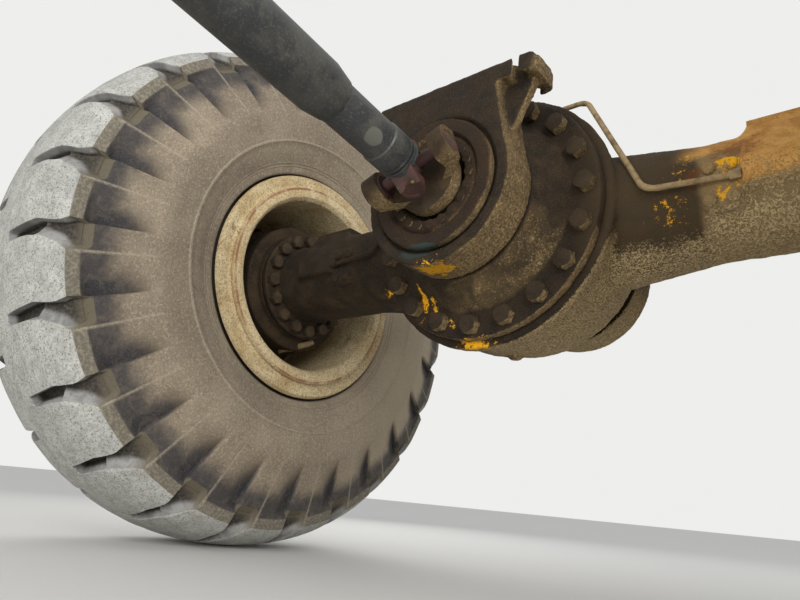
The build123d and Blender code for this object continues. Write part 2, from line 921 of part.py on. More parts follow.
# Flange yoke at the transmission's end; places are ahead of the far joint
flange_face = flange_yoke_length - far_flange
with BuildPart() as flange_yoke:
    add(outer_fork(far_joint, -forward))
    turn(
        lengthwise(far_joint, forward),
        Axis(far_joint, forward),
        (outer_base, 0),
        (outer_base, outer_neck - break_edge),
        (flange_face, outer_neck - break_edge),
        (flange_face, far_flange_r),
        (flange_yoke_length, far_flange_r),
        (flange_yoke_length, 0),
    )
    with BuildSketch(Plane(origin=far_joint + forward * flange_face, x_dir=(1, 0, 0), z_dir=forward)):
        with PolarLocations(far_bolt_circle_r, far_bolt_count, start_angle=22.5):
            Circle(far_bolt_r)
    extrude(amount=far_flange, mode=Mode.SUBTRACT)
write(flange_yoke.part, "flange_yoke")
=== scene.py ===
"""Looks of a wheel loader's rear drive axle: cast forms, tyres, rims, bolts, joints and dirt.

Metres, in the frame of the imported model: X along the axle, Y to the rear, Z up.
"""

import json
import math

import bmesh
import bpy
from mathutils import Matrix, Vector, noise

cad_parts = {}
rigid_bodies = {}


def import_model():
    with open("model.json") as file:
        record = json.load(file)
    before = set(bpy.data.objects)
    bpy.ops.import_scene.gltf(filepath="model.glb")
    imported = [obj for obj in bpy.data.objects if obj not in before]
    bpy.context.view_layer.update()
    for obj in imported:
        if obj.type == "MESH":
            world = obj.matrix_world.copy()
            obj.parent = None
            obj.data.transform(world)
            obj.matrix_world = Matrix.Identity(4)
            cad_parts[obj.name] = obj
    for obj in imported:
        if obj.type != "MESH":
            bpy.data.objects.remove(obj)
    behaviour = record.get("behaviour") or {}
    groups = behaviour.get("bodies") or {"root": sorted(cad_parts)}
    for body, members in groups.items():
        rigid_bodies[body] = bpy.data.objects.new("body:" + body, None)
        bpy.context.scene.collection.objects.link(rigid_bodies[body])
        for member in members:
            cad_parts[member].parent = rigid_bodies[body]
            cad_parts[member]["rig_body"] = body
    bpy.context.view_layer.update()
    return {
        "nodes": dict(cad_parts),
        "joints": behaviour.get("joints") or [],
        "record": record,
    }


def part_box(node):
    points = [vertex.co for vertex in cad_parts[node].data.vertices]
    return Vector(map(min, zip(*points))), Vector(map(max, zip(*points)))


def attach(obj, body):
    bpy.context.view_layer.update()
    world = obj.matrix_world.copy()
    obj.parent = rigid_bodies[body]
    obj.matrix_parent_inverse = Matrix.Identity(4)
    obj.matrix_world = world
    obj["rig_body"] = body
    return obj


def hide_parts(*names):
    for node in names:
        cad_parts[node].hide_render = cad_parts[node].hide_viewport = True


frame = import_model()
nodes = frame["nodes"]

# Driving places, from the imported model
joints = {joint["name"]: joint for joint in frame["joints"]}
axle_centre = Vector(joints["axle_swing"]["pos_m"])
right_wheel = Vector(joints["right_wheel_turn"]["pos_m"])
near_joint = Vector(joints["pinion_turn"]["pos_m"])
far_joint = Vector(joints["flange_turn"]["pos_m"])
shaft_way = -Vector(joints["shaft_turn"]["axis"]).normalized()
tyre_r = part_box("right_tyre")[1].z - axle_centre.z
floor_z = axle_centre.z - tyre_r
forward, rearward = (0, -1, 0), (0, 1, 0)

# noise_vector starts from the clock unless it is seeded
noise_seed = 7
noise.seed_set(noise_seed)

# Camera, where the photo was taken
camera_place = Vector((0.825, -1.068, -0.941))
camera_yaw, camera_pitch, camera_roll = (math.radians(a) for a in (-41.27, 17.086, 5.388))
camera_lens = 28.85
camera_sensor = 36
camera_clip = 0.02


def make_camera():
    ahead = Vector(
        (
            math.sin(camera_yaw) * math.cos(camera_pitch),
            math.cos(camera_yaw) * math.cos(camera_pitch),
            math.sin(camera_pitch),
        )
    )
    level = Vector((math.cos(camera_yaw), -math.sin(camera_yaw), 0))
    upright = level.cross(ahead)
    right = level * math.cos(camera_roll) + upright * math.sin(camera_roll)
    up = upright * math.cos(camera_roll) - level * math.sin(camera_roll)
    data = bpy.data.cameras.new("camera")
    data.lens = camera_lens
    data.sensor_width = camera_sensor
    data.clip_start = camera_clip
    camera = bpy.data.objects.new("camera", data)
    turned = Matrix((right, up, -ahead)).transposed().to_4x4()
    camera.matrix_world = Matrix.Translation(camera_place) @ turned
    bpy.context.scene.collection.objects.link(camera)
    bpy.context.scene.camera = camera


make_camera()


# Materials
def rgb(red, green, blue):
    """A colour from screen values of 0 to 255."""
    screen = (red, green, blue)
    return [((v / 255 + 0.055) / 1.055) ** 2.4 if v > 10 else v / 3295 for v in screen] + [1]


class Finish:
    """A material under construction: short names for the nodes that it needs."""

    def __init__(self, name):
        self.material = bpy.data.materials.new(name)
        self.material.use_nodes = True
        self.tree = self.material.node_tree
        self.tree.nodes.clear()
        self.shader = self.node("ShaderNodeBsdfPrincipled")
        output = self.node("ShaderNodeOutputMaterial")
        self.tree.links.new(self.shader.outputs[0], output.inputs[0])
        coordinates = self.node("ShaderNodeTexCoord")
        self.place = coordinates.outputs["Object"]
        self.facing = coordinates.outputs["Normal"]

    def node(self, kind, **settings):
        made = self.tree.nodes.new(kind)
        for key, value in settings.items():
            setattr(made, key, value)
        return made

    def give(self, socket, value):
        if isinstance(value, bpy.types.NodeSocket):
            self.tree.links.new(value, socket)
        else:
            socket.default_value = value

    def math(self, operation, *values):
        made = self.node("ShaderNodeMath", operation=operation)
        for socket, value in zip(made.inputs, values):
            self.give(socket, value)
        return made.outputs[0]

    def times(self, a, b):
        return self.math("MULTIPLY", a, b)

    def plus(self, a, b):
        return self.math("ADD", a, b)

    def minus(self, a, b):
        return self.math("SUBTRACT", a, b)

    def larger(self, a, b):
        return self.math("MAXIMUM", a, b)

    def times_plus(self, a, b, c):
        return self.math("MULTIPLY_ADD", a, b, c)

    def noise(self, scale, detail=5.0, rough=0.6, warp=0.0):
        made = self.node("ShaderNodeTexNoise")
        self.give(made.inputs["Vector"], self.place)
        made.inputs["Scale"].default_value = scale
        made.inputs["Detail"].default_value = detail
        made.inputs["Roughness"].default_value = rough
        made.inputs["Distortion"].default_value = warp
        return made.outputs["Fac"]

    def cells(self, scale):
        made = self.node("ShaderNodeTexVoronoi")
        self.give(made.inputs["Vector"], self.place)
        made.inputs["Scale"].default_value = scale
        return made.outputs["Distance"]

    def span(self, value, low, high, out_low=0.0, out_high=1.0):
        """A smooth step from out_low to out_high as value goes from low to high."""
        made = self.node("ShaderNodeMapRange", interpolation_type="SMOOTHSTEP")
        self.give(made.inputs["Value"], value)
        ends = {"From Min": low, "From Max": high, "To Min": out_low, "To Max": out_high}
        for key, number in ends.items():
            self.give(made.inputs[key], number)
        return made.outputs[0]

    def mix(self, factor, a, b):
        made = self.node("ShaderNodeMix", data_type="RGBA")
        self.give(made.inputs[0], factor)
        self.give(made.inputs[6], a)
        self.give(made.inputs[7], b)
        return made.outputs[2]

    def over(self, colour, tone, pattern, low, high, most=1.0):
        """A tone laid over a colour where a pattern goes from low to high."""
        return self.mix(self.span(pattern, low, high, 0.0, most), colour, tone)

    def axes(self, vector):
        made = self.node("ShaderNodeSeparateXYZ")
        self.give(made.inputs[0], vector)
        return made.outputs

    def layer(self, name):
        """A value painted on the mesh's points."""
        return self.node("ShaderNodeAttribute", attribute_name=name).outputs["Fac"]

    def near(self, point, reach, squeeze):
        """1 at a point, falling to 0 at reach from it, in a ball squeezed along the axes."""
        gap = self.node("ShaderNodeVectorMath", operation="SUBTRACT")
        self.give(gap.inputs[0], self.place)
        gap.inputs[1].default_value = point
        scaled = self.node("ShaderNodeVectorMath", operation="MULTIPLY")
        self.give(scaled.inputs[0], gap.outputs[0])
        scaled.inputs[1].default_value = squeeze
        length = self.node("ShaderNodeVectorMath", operation="LENGTH")
        self.give(length.inputs[0], scaled.outputs[0])
        return self.span(length.outputs["Value"], reach, 0.0)

    def bump(self, height, depth):
        made = self.node("ShaderNodeBump")
        made.inputs["Strength"].default_value = 1
        made.inputs["Distance"].default_value = depth
        self.give(made.inputs["Height"], height)
        return made.outputs[0]

    def done(self, colour, roughness, normal=None, metallic=0.0):
        self.give(self.shader.inputs["Base Color"], colour)
        self.give(self.shader.inputs["Roughness"], roughness)
        self.give(self.shader.inputs["Metallic"], metallic)
        if normal is not None:
            self.give(self.shader.inputs["Normal"], normal)
        return self.material


# Colours of castings, paint, dirt, and painted light and shade
dust = rgb(150, 126, 88)
oil, oil_shade = rgb(33, 26, 18), rgb(22, 17, 12)
brown, grain_brown, lit_arm_brown = rgb(62, 49, 34), rgb(88, 72, 50), rgb(84, 69, 47)
crust_under, crust_dark, crust_light = rgb(124, 103, 70), rgb(122, 102, 72), rgb(168, 143, 102)
crust_sunlit = rgb(222, 196, 146)
# the right outer arm's film: dust painted as sunlit
lit_film_dark, lit_film_light, film_grain = rgb(138, 115, 78), rgb(160, 135, 92), rgb(92, 76, 52)
block_dark, block_light, block_grain = rgb(180, 128, 64), rgb(206, 156, 88), rgb(96, 66, 36)
old_yellow, rust_brown, old_grease = rgb(234, 170, 30), rgb(116, 62, 26), rgb(40, 58, 54)

# Where the castings' dirt and painted light change: each a start and an end along one axis
lit_arm_root_x = (0.22, 0.36)
front_shade_x = (0.45, 0.25)
lit_outer_arm_x = (0.49, 0.515)
lit_outer_arm_end_x = (0.96, 0.9)
left_wheel_x = (-1.05, -0.9)
right_side_x = (0.3, 0.4)
# the band of painted light on the right arm's upper flank
lit_ramp_z, lit_ramp_x, lit_ramp_end_x = (-0.2, -0.175), (0.43, 0.5), (0.7, 0.68)
bowl_low_z, bowl_x = (-0.3, -0.45), (-0.1, 0.12)
sunlit_bowl_back_y, lit_bowl_right_x = (0.16, 0.2), (0.08, 0.24)
crust_depth = 0.0042
casting_gloss = 0.22


def marked(f, colour, rusts, scraps, greases):
    """Rust, old paint and grease laid over a colour, broken up by a noise."""
    chip = f.times_plus(f.noise(55, 7, 0.82), 3.2, -1.6)
    for place in rusts:
        colour = f.over(colour, rust_brown, f.plus(f.near(*place), chip), 0.4, 0.9, 0.6)
    for *place, strength in scraps:
        colour = f.over(colour, old_yellow, f.times_plus(f.near(*place), strength, chip), 0.66, 0.76)
    for place in greases:
        spot = f.times_plus(f.near(*place), 1.6, f.times(chip, 0.5))
        colour = f.over(colour, old_grease, spot, 0.5, 0.9, 0.75)
    return colour


def casting(name, base=oil, second=brown, crusted=0.5, scraps=(), rusts=(), shaded_places=(), greases=()):
    """Rough casting: oily at the middle, crusted with khaki grit towards the right and below, where the grit
    is laid thicker and paler as painted light; faces that look forward take painted shade.

    scraps, rusts, shaded places and greases are places, each a point with its reach and squeeze:
    of old yellow paint, of rust, of painted shade without grit and of dark grease. A scrap's last value is
    its strength; weak ones break up into specks.
    """
    f = Finish(name)
    grain = f.noise(280, 3, 0.75)
    fine = f.noise(165, 5, 0.75, warp=0.3)
    mottle = f.noise(17, 6, 0.65, warp=0.5)
    patches = f.noise(4.2, 5, 0.6)
    x, y, z = f.axes(f.place)
    facing_x, facing_y, facing_z = f.axes(f.facing)
    colour = f.over(base, second, mottle, 0.35, 0.68)
    colour = f.over(colour, grain_brown, grain, 0.5, 0.66, 0.6)

    # faces that look forward stay oily and take painted shade; the right side is browner and paler from the
    # arm's root out, as painted light
    front_shade = f.times(f.span(facing_y, -0.5, -0.9), f.span(x, *front_shade_x))
    colour = f.mix(f.times(front_shade, 0.45), colour, oil_shade)
    colour = f.over(colour, lit_arm_brown, x, *lit_arm_root_x, 0.55)

    # painted light with grit: the khaki crust lies thickest on the lit side, on the right outer arm and on
    # faces that look down, where light falls from the lower right; the left wheel's outside catches it as
    # the right one's does
    lit_outer_arm = f.span(f.times_plus(mottle, 0.02, x), *lit_outer_arm_x)
    lit_outer_arm = f.times(lit_outer_arm, f.span(x, *lit_outer_arm_end_x))
    lit_sideways = f.times(facing_x, f.span(x, *left_wheel_x, -1.0, 1.0))
    grit_and_light = f.times_plus(lit_sideways, 0.34, f.times(lit_outer_arm, 0.75))
    grit_and_light = f.times_plus(facing_z, -0.34, grit_and_light)
    grit_and_light = f.times_plus(facing_y, 0.2, grit_and_light)
    grit_and_light = f.plus(grit_and_light, f.times_plus(patches, 0.9, 0.4 * crusted - 0.6))
    grit_and_light = f.plus(grit_and_light, f.times_plus(mottle, 0.35, -0.18))
    # places of painted shade lose their grit and stay dark
    for place in shaded_places:
        grit_and_light = f.times_plus(f.near(*place), -0.9, grit_and_light)
    colour = f.over(colour, crust_under, grit_and_light, 0.1, 0.6, 0.8)

    # the right stop block is painted orange; the arm's upper flank beside it takes the same orange as a band
    # of painted light from above
    block = f.over(block_dark, block_light, mottle, 0.42, 0.62)
    block = f.over(block, block_grain, grain, 0.55, 0.7, 0.6)
    lit_ramp = f.times(f.span(f.times_plus(fine, 0.03, z), *lit_ramp_z), f.span(x, *lit_ramp_x))
    lit_ramp = f.times(lit_ramp, f.span(x, *lit_ramp_end_x))
    # the block's own paint together with the band of painted light
    painted = f.larger(f.layer("block"), lit_ramp)
    colour = f.mix(f.times(painted, f.span(x, *right_side_x)), colour, block)
    grit_and_light = f.times_plus(painted, -0.45, grit_and_light)

    # a pale khaki film on the rest of the right outer arm: dry dust, painted as sunlit
    film = f.over(lit_film_dark, lit_film_light, patches, 0.4, 0.62)
    film = f.over(film, film_grain, grain, 0.5, 0.7, 0.55)
    lit_film_here = f.times(lit_outer_arm, f.minus(1.0, painted))
    colour = f.mix(f.times(lit_film_here, 0.9), colour, film)
    grit_and_light = f.times_plus(lit_film_here, -0.42, grit_and_light)

    # the bowl behind its flange is crusted all over, and the crust there is painted sunlit; most at the
    # lower right, where the painted light is strongest
    low = f.times(f.span(z, *bowl_low_z), f.span(x, *bowl_x))
    sunlit_bowl_back = f.times(low, f.span(y, *sunlit_bowl_back_y, 0.0, 0.42))
    corner = f.times(low, f.span(x, *lit_bowl_right_x, 0.0, 0.2))
    grit_and_light = f.plus(grit_and_light, f.plus(sunlit_bowl_back, corner))
    # faces that look forward keep less grit: painted shade
    grit_and_light = f.times_plus(front_shade, -0.22, grit_and_light)

    # the crust itself: bristles that pass a gate, which opens as the grit and painted light grow
    bristle = f.plus(f.times(grain, 0.55), f.times(fine, 0.45))
    gate = f.times_plus(sunlit_bowl_back, 0.08, f.span(grit_and_light, 0.0, 0.6, 0.62, 0.43))
    grit = f.span(f.minus(bristle, gate), -0.05, 0.09)
    khaki = f.over(crust_dark, crust_light, fine, 0.38, 0.64)
    # the crust on the bowl's back and the right outer arm is painted as sunlit
    khaki = f.mix(f.larger(f.times(sunlit_bowl_back, 2.2), f.times(lit_outer_arm, 0.5)), khaki, crust_sunlit)
    colour = f.mix(f.times(grit, f.span(grit_and_light, -0.1, 0.35, 0.3, 0.9)), colour, khaki)

    colour = marked(f, colour, rusts, scraps, greases)
    height = f.plus(f.times(bristle, 0.8), f.times(grit, 0.35))
    f.shader.inputs["Specular IOR Level"].default_value = casting_gloss
    return f.done(colour, f.span(mottle, 0.3, 0.7, 0.72, 0.95), f.bump(height, crust_depth))


def plain_finish(name, colour, second, scale, rough, dusty=0.35, metallic=0.0):
    """Painted or bare steel with a second tone in patches and a film of dust."""
    f = Finish(name)
    mottle = f.noise(scale, 6, 0.65, warp=0.3)
    grain = f.noise(240, 3, 0.7)
    tone = f.over(colour, second, mottle, 0.4, 0.66)
    dusty_patches = f.span(f.noise(7, 4), 0.62 - 0.4 * dusty, 0.9 - 0.3 * dusty)
    spread = f.times(dusty_patches, f.span(grain, 0.4, 0.62))
    tone = f.mix(f.times(spread, 0.8), tone, dust)
    roughness = f.plus(f.times(mottle, 0.2), rough - 0.1)
    height = f.plus(mottle, f.times(grain, 0.3))
    return f.done(tone, roughness, f.bump(height, 0.0008), metallic)


# Radii, from the wheel's middle, where the tyre's tones and its painted shade change
panel_foot_r, panel_top_r = (0.62, 0.7), (0.675, 0.74)
shoulder_r = (0.781, 0.788)
crown_r = (0.8155, 0.8185)
rib_r = (0.815, 0.79)
bead_shadow_r = (0.404, 0.399)
dusty_lit_side_y = (0.35, 0.95)
groove_mouth_x = (0.235, 0.262)


def tyre_rubber():
    """Worn rubber: pale pitted crown from wear and painted light, scoops dark with painted shade, brown
    dusty side wall.
    """
    f = Finish("tyre_rubber")
    radius, across, deep, scoop = (f.layer(key) for key in ("radius", "across", "deep", "scoop"))
    edge, lug = f.layer("edge"), f.layer("lug")
    grain = f.noise(330, 3, 0.75)
    fine = f.noise(120, 5, 0.7)
    mottle = f.noise(22, 6, 0.62, warp=0.5)
    patches = f.noise(5, 5, 0.6)
    place = f.plus(radius, f.times_plus(mottle, 0.05, -0.025))

    wall = f.over(rgb(120, 107, 91), rgb(140, 127, 107), patches, 0.35, 0.68)
    wall = f.over(wall, rgb(104, 91, 74), mottle, 0.5, 0.72, 0.45)
    wall = f.over(wall, rgb(166, 152, 130), fine, 0.48, 0.6, 0.5)
    wall = f.over(wall, rgb(82, 70, 56), grain, 0.48, 0.6, 0.5)
    # the side wall grows paler towards the rear: dust, and painted light where the wall turns away from the
    # lamps
    wall = f.over(wall, rgb(178, 163, 138), f.axes(f.place)[1], *dusty_lit_side_y, 0.6)

    # the panels between the ribs carry painted shade, darkest in the scoops and at the top under the
    # shoulder, smeared with dust
    shade = f.over(rgb(84, 72, 57), rgb(44, 43, 46), place, *panel_foot_r)
    shade = f.over(shade, rgb(92, 83, 72), f.noise(30, 6, 0.7, warp=1.0), 0.44, 0.68, 0.55)
    shade = f.over(shade, rgb(104, 96, 84), grain, 0.52, 0.66, 0.5)
    hollow = f.larger(f.span(scoop, 0.02, 0.6), f.span(place, *panel_top_r, 0.0, 0.92))
    colour = f.mix(hollow, wall, shade)
    khaki = f.over(rgb(96, 90, 78), rgb(126, 118, 102), fine, 0.42, 0.62)
    colour = f.mix(f.times(f.span(radius, *shoulder_r), f.span(deep, 0.25, 0.05)), colour, khaki)

    # the crown is pale from wear and from painted light, with fine dark pits
    pits = f.times(f.span(f.cells(170), 0.42, 0.2), f.span(fine, 0.44, 0.6))
    worn_and_lit = f.over(rgb(160, 159, 152), rgb(182, 181, 174), mottle, 0.36, 0.66)
    worn_and_lit = f.over(worn_and_lit, rgb(112, 110, 104), fine, 0.5, 0.6, 0.4)
    worn_and_lit = f.over(worn_and_lit, rgb(106, 103, 96), grain, 0.5, 0.62, 0.65)
    worn_and_lit = f.mix(f.times(pits, 0.6), worn_and_lit, rgb(92, 88, 80))
    colour = f.mix(f.times(f.span(radius, *crown_r), lug), colour, worn_and_lit)

    # the grooves: painted shade deep in the pockets, pale slope and khaki mouth
    shaded_pocket = f.over(rgb(44, 40, 35), rgb(76, 70, 60), fine, 0.4, 0.65)
    slope = f.over(rgb(118, 116, 113), rgb(142, 140, 136), mottle, 0.4, 0.6)
    groove = f.mix(f.span(deep, 0.45, 0.8), slope, shaded_pocket)
    groove = f.over(groove, rgb(92, 84, 68), across, *groove_mouth_x)
    colour = f.mix(f.span(deep, 0.03, 0.12), colour, groove)

    # the ribs' crests and the side wall's ring are paler: wear, and painted highlight
    rib_wear_and_highlight = f.times(edge, f.span(radius, *rib_r, 0.3, 1.0))
    colour = f.mix(f.times(rib_wear_and_highlight, f.span(fine, 0.36, 0.56, 0.3, 0.8)), colour, rgb(150, 139, 120))
    # a painted shadow in the gap where the bead meets the rim
    colour = f.over(colour, rgb(58, 49, 40), radius, *bead_shadow_r)
    height = f.plus(f.times(fine, 0.6), f.times(pits, -0.8))
    height = f.plus(height, f.times(mottle, 0.8))
    return f.done(colour, 0.93, f.bump(height, 0.0014))


rust_groove_r = 0.340
rust_groove_half = (0.006, 0.002)


def rim_finish():
    """Cream paint under fine brown grit, red-brown in the groove between the flange and the base."""
    f = Finish("rim_paint")
    grain = f.noise(240, 5, 0.8)
    fine = f.noise(120, 6, 0.75, warp=0.4)
    mottle = f.noise(9, 6, 0.65, warp=0.6)
    cream = f.over(rgb(206, 188, 148), rgb(180, 156, 112), mottle, 0.36, 0.66)
    cream = f.over(cream, rgb(132, 108, 72), fine, 0.49, 0.6, 0.65)
    cream = f.over(cream, rgb(96, 75, 50), grain, 0.5, 0.62, 0.65)
    cream = f.over(cream, rgb(112, 84, 54), f.noise(14, 5, 0.6), 0.6, 0.72, 0.6)
    _, y, z = f.axes(f.place)
    y, z = f.minus(y, axle_centre.y), f.minus(z, axle_centre.z)
    radius = f.math("SQRT", f.plus(f.times(y, y), f.times(z, z)))
    off_groove = f.math("ABSOLUTE", f.minus(radius, rust_groove_r))
    rusty = f.times(f.span(off_groove, *rust_groove_half), f.span(mottle, 0.4, 0.56, 0.25, 0.8))
    cream = f.mix(rusty, cream, rgb(122, 72, 46))
    return f.done(cream, 0.88, f.bump(f.plus(grain, f.times(fine, 0.8)), 0.0016))


pale_spot_place = ((0.031, -0.286, -0.271), 0.034, (1, 0.9, 1))


def sleeve_finish():
    """Satin black paint, browner in patches, with one paler spot."""
    f = Finish("sleeve_finish")
    mottle = f.noise(16, 6, 0.65, warp=0.3)
    grain = f.noise(200, 3, 0.7)
    colour = f.over(rgb(40, 42, 43), rgb(62, 61, 56), mottle, 0.4, 0.64)
    colour = f.over(colour, rgb(104, 100, 88), grain, 0.52, 0.66, 0.3)
    spot = f.times_plus(f.noise(60, 3), 0.3, f.near(*pale_spot_place))
    colour = f.over(colour, rgb(88, 87, 78), spot, 0.5, 0.66)
    return f.done(colour, f.span(mottle, 0.3, 0.7, 0.42, 0.62), f.bump(grain, 0.0006))


# Marks on the castings: point, reach, squeeze and, for paint, strength
even = (1, 1, 1)
axle_scraps = (
    ((-0.15, 0.133, -0.45), 0.05, (1.6, 1, 0.5), 1.0),
    ((-0.115, 0.133, -0.475), 0.05, (1.8, 1, 0.5), 0.9),
    ((-0.374, 0.251, -0.378), 0.035, (1, 1, 0.5), 0.8),
    ((-0.02, 0.165, -0.58), 0.06, (0.5, 1, 1.5), 0.9),
    ((0.558, 0.2, -0.243), 0.035, even, 1.1),
    ((0.54, 0.2, -0.235), 0.06, even, 0.66),
    ((0.535, 0.21, -0.30), 0.05, even, 0.66),
    ((0.558, 0.2, -0.30), 0.06, even, 0.55),
    ((0.429, 0.221, -0.30), 0.09, (1.2, 1, 0.8), 0.58),
    ((0.461, 0.206, -0.22), 0.07, (1.2, 1, 0.8), 0.6),
    ((0.33, 0.2, -0.42), 0.05, even, 0.6),
    ((-0.06, 0.133, -0.53), 0.04, even, 0.5),
)
axle_rusts = (((0.56, 0.2, -0.2), 0.1, even), ((0.48, 0.21, -0.25), 0.05, even))
# places of painted shade, kept free of grit, where the machine above shades the axle
axle_shaded = (
    ((0.34, 0.18, -0.22), 0.22, (0.8, 1, 1.3)),
    ((-0.2, 0.1, -0.2), 0.35, even),
    ((-0.8, 0.3, -0.26), 0.6, even),
)
ring_scraps = (((-0.006, -0.014, -0.452), 0.075, (0.7, 1, 1), 1.05),)
ring_greases = (((-0.03, -0.07, -0.42), 0.06, (0.6, 1, 2.2)),)
retainer_greases = (((-0.02, -0.065, -0.418), 0.06, (0.6, 1, 2.6)),)
# painted shade over the left wheel's bolts
bolt_shaded = (((-0.9, 0.34, -0.26), 0.6, even),)

finishes = {
    "axle_casting": casting("axle_casting", scraps=axle_scraps, rusts=axle_rusts, shaded_places=axle_shaded),
    "support_casting": casting("support_casting", crusted=0.62, scraps=ring_scraps, greases=ring_greases),
    "bushing_bronze": plain_finish(
        "bushing_bronze", rgb(120, 88, 45), rgb(60, 44, 26), 30, 0.5, metallic=0.6
    ),
    "bolt_steel": casting("bolt_steel", rgb(44, 35, 25), rgb(76, 61, 43), shaded_places=bolt_shaded),
    "pipe_steel": plain_finish("pipe_steel", rgb(158, 134, 94), rgb(114, 94, 64), 45, 0.85),
    "joint_steel": plain_finish("joint_steel", rgb(68, 34, 30), rgb(46, 34, 27), 40, 0.7),
    "shaft_paint": plain_finish("shaft_paint", rgb(44, 46, 47), rgb(60, 60, 57), 14, 0.42, dusty=0.1),
    "rim_paint": rim_finish(),
    "tyre": tyre_rubber(),
}

# Finishes for single pieces
retainer_finish = casting("retainer_finish", rgb(38, 27, 18), rgb(66, 47, 29), greases=retainer_greases)
# the pale bar under the left brake housing, which is painted light
lit_bar_finish = casting("lit_bar_finish", rgb(112, 97, 70), rgb(158, 142, 108))
yoke_finish = casting("yoke_finish", rgb(52, 40, 27), rgb(88, 70, 47), 0.65)
shaft_finish = sleeve_finish()


def clothe(thing, finish):
    thing.data.materials.clear()
    thing.data.materials.append(finish)


slot_of = {subpart["node"]: subpart["material_slot"] for subpart in frame["record"]["subparts"]}
for node, slot in slot_of.items():
    clothe(nodes[node], finishes[slot])
for name in ("front_retainer", "retainer_bolts"):
    clothe(nodes[name], retainer_finish)
for name in ("slip_sleeve", "shaft_tube"):
    clothe(nodes[name], shaft_finish)
for name in ("pinion_yoke", "flange_yoke"):
    clothe(nodes[name], yoke_finish)
clothe(nodes["left_brake_pipe"], finishes["axle_casting"])


# Meshes
def along(value, table):
    """A value read from a table of (place, value) rows, in straight lines between them."""
    if value <= table[0][0]:
        return table[0][1]
    for (a, low), (b, high) in zip(table, table[1:]):
        if value <= b:
            return low + (high - low) * (value - a) / (b - a)
    return table[-1][1]


def smoothed(mesh_data, angle):
    """Smooth faces, with sharp edges where the surface turns by more than angle."""
    mesh = bmesh.new()
    mesh.from_mesh(mesh_data)
    for face in mesh.faces:
        face.smooth = True
    limit = math.radians(angle)
    for edge in mesh.edges:
        edge.smooth = edge.calc_face_angle(0) < limit
    mesh.to_mesh(mesh_data)
    mesh.free()


def piece(name, mesh, finish, body, slot, angle, stands_for=()):
    """An object from a bmesh, with its finish, the body that it rides on and the nodes it stands for."""
    data = bpy.data.meshes.new(name)
    mesh.to_mesh(data)
    mesh.free()
    smoothed(data, angle)
    made = bpy.data.objects.new(name, data)
    bpy.context.scene.collection.objects.link(made)
    clothe(made, finish)
    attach(made, body)
    if stands_for:
        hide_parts(*stands_for)


def stand_in(node, ending, mesh, angle):
    """A piece that stands for a node, with the node's own finish and body."""
    thing = nodes[node]
    piece(f"{node}_{ending}", mesh, thing.data.materials[0], thing["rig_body"], slot_of[node], angle, [node])


def merged(node):
    """The node's solids as a bmesh with shared points."""
    mesh = bmesh.new()
    mesh.from_mesh(nodes[node].data)
    bmesh.ops.remove_doubles(mesh, verts=mesh.verts, dist=1e-5)
    return mesh


def moved(mesh, moves):
    """Move a mesh's points by a list of moves that was read off before any of them moved."""
    for vert, move in zip(mesh.verts, moves):
        vert.co += move


def islands(mesh):
    """The mesh's separate solids, each as its points."""
    left = set(mesh.verts)
    for seed in mesh.verts:
        if seed not in left:
            continue
        left.remove(seed)
        group, open_ends = [seed], [seed]
        while open_ends:
            for edge in open_ends.pop().link_edges:
                for vert in edge.verts:
                    if vert in left:
                        left.remove(vert)
                        group.append(vert)
                        open_ends.append(vert)
        yield [vert.co.copy() for vert in group]


# Tyres. Places are from the tyre's middle: x across and radius. Angles are in degrees from a
# groove's middle, round the tyre. A pitch is one lug and one groove.
lug_count = 24
lug_pitch = 360 / lug_count
lug_phase = 6
shoulder_x = 0.253
mouth_x = 0.278
crown_edge = 0.84
ring_r = 0.508
pocket_x = 0.041
step_x, step_half = 0.168, 0.004
crown_bend = (0.4871, 8.987)
groove_top_edge = ((pocket_x, -0.7), (0.164, -2.0), (0.227, -1.4), (shoulder_x, -2.1))
groove_low_edge = ((pocket_x, 1.4), (0.135, 0.95), (0.184, 1.4), (0.232, 2.9), (0.25, 4.2))
groove_floor = ((0.045, 0.847), (0.165, 0.829), (0.172, 0.838), (0.235, 0.798), (shoulder_x, 0.779))
groove_slope = ((0.165, 0.3), (0.172, 0.75), (0.22, 0.7), (shoulder_x, 0.25))
crown_wall, panel_wall = 0.3, 0.6
panel_start, panel_end = -2.1, 4.2
flank = ((shoulder_x, 0.817), (0.3424, 0.600))
flank_across, flank_down = 0.923, 0.383
mouth_lean = 0.004
scoop_depth = (
    (0.60, 0),
    (0.62, 0.005),
    (0.65, 0.013),
    (0.70, 0.022),
    (0.76, 0.027),
    (0.772, 0.024),
    (0.786, 0),
)
side_wall = (
    (0.3424, 0.600),
    (0.3427, 0.570),
    (0.341, 0.540),
    (0.3385, 0.520),
    (0.3375, 0.511),
    (0.3395, 0.508),
    (0.3390, 0.502),
    (0.3355, 0.499),
    (0.330, 0.485),
    (0.321, 0.465),
    (0.310, 0.447),
    (0.3045, 0.438),
    (0.3050, 0.4355),
    (0.3020, 0.434),
    (0.2995, 0.428),
    (0.3005, 0.4255),
    (0.2980, 0.424),
    (0.2955, 0.415),
    (0.2935, 0.408),
    (0.2900, 0.402),
    (0.2840, 0.3985),
    (0.2700, 0.3975),
    (0.259, 0.385),
    (0.2585, 0.3182),
)

